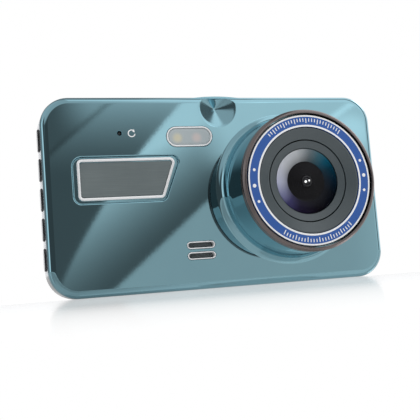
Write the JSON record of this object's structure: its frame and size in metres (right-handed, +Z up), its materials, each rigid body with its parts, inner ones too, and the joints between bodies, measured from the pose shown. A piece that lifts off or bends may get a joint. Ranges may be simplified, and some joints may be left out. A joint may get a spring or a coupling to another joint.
{
  "type": "dash camera",
  "caption": "Slim in-car camera with a large offset lens tube, side keys, fill light, speaker slots and a rear screen.",
  "frame": {"origin": "on the resting surface, under the centre of the bounding box", "axes": "+Z up, -Y the way the lens looks, +X to the right as the lens side is seen"},
  "size_m": [0.1064, 0.0316, 0.0587],
  "materials": {
    "teal_paint": "metallic blue-green paint under clear lacquer",
    "silver_trim": "silver plated",
    "black_shell": "fine moulded texture",
    "screen_glass": "polished, black backed",
    "display_foil": "satin",
    "flex_film": "amber film",
    "gunmetal_trim": "dark bronze plated",
    "label_print": "printed blue ring with white lines and dots",
    "hood_plastic": "satin dark grey",
    "foam_rubber": "closed cell foam",
    "barrel_black": "satin black",
    "lens_glass": "coated",
    "chip_resin": "moulded resin",
    "circuit_board": "solder mask",
    "screw_steel": "machined",
    "chrome_trim": "polished",
    "frosted_lens": "frosted, translucent",
    "led_phosphor": "phosphor",
    "brushed_plate": "brushed grey",
    "speaker_cloth": "fine black mesh",
    "speaker_shell": "satin",
    "wire_sleeve": "insulated wire",
    "switch_steel": "stamped",
    "key_gunmetal": "dark plated, bright at the edges",
    "spreader_plate": "satin",
    "card_plastic": "satin",
    "cell_foil": "laminated pouch"
  },
  "bodies": {
    "housing": {"front_cover": "teal_paint", "middle_frame": "silver_trim", "rear_cover": "black_shell", "screen_glass": "screen_glass", "display_panel": "display_foil", "display_flex": "flex_film", "mount_socket": "black_shell", "lens_bezel": "gunmetal_trim", "lens_label_ring": "label_print", "lens_hood": "hood_plastic", "lens_seal": "foam_rubber", "lens_barrel": "barrel_black", "front_lens": "lens_glass", "inner_lens": "lens_glass", "rear_lens": "lens_glass", "lens_holder": "barrel_black", "image_sensor": "chip_resin", "sensor_board": "circuit_board", "sensor_flex": "flex_film", "holder_screw_1": "screw_steel", "holder_screw_2": "screw_steel", "light_bezel": "chrome_trim", "light_window": "frosted_lens", "light_board": "circuit_board", "led_left": "led_phosphor", "led_right": "led_phosphor", "name_plate": "brushed_plate", "name_plate_bezel": "chrome_trim", "speaker_trim_upper": "chrome_trim", "speaker_trim_lower": "chrome_trim", "speaker_mesh": "speaker_cloth", "speaker": "speaker_shell", "speaker_lead": "wire_sleeve", "reset_switch": "switch_steel", "button_board": "circuit_board", "main_board": "circuit_board", "processor": "chip_resin", "memory_chip": "chip_resin", "heat_spreader": "spreader_plate", "usb_port": "switch_steel", "av_jack": "barrel_black", "card_slot": "switch_steel", "microphone": "switch_steel", "battery": "cell_foil", "battery_lead": "wire_sleeve", "board_screw_1": "screw_steel", "board_screw_2": "screw_steel", "board_screw_3": "screw_steel", "board_screw_4": "screw_steel"},
    "power_key": {"power_button": "key_gunmetal"},
    "menu_key": {"menu_button": "key_gunmetal"},
    "up_key": {"up_button": "key_gunmetal"},
    "ok_key": {"ok_button": "key_gunmetal"},
    "down_key": {"down_button": "key_gunmetal"},
    "reset_pin": {"reset_button": "barrel_black"},
    "card": {"memory_card": "card_plastic"}
  },
  "joints": [
    {"name": "power_press", "type": "slide", "parent": "housing", "child": "power_key", "axis": [1, 0, 0], "range_m": [0, 0.00045], "stiffness_N_per_m": 600},
    {"name": "menu_press", "type": "slide", "parent": "housing", "child": "menu_key", "axis": [1, 0, 0], "range_m": [0, 0.00045], "stiffness_N_per_m": 600},
    {"name": "up_press", "type": "slide", "parent": "housing", "child": "up_key", "axis": [1, 0, 0], "range_m": [0, 0.00045], "stiffness_N_per_m": 600},
    {"name": "ok_press", "type": "slide", "parent": "housing", "child": "ok_key", "axis": [1, 0, 0], "range_m": [0, 0.00045], "stiffness_N_per_m": 600},
    {"name": "down_press", "type": "slide", "parent": "housing", "child": "down_key", "axis": [1, 0, 0], "range_m": [0, 0.00045], "stiffness_N_per_m": 600},
    {"name": "reset_press", "type": "slide", "parent": "housing", "child": "reset_pin", "axis": [0, 1, 0], "range_m": [0, 0.0003], "stiffness_N_per_m": 600},
    {"name": "card_slide", "type": "slide", "parent": "housing", "child": "card", "axis": [1, 0, 0], "range_m": [-0.0008, 0.012]}
  ]
}
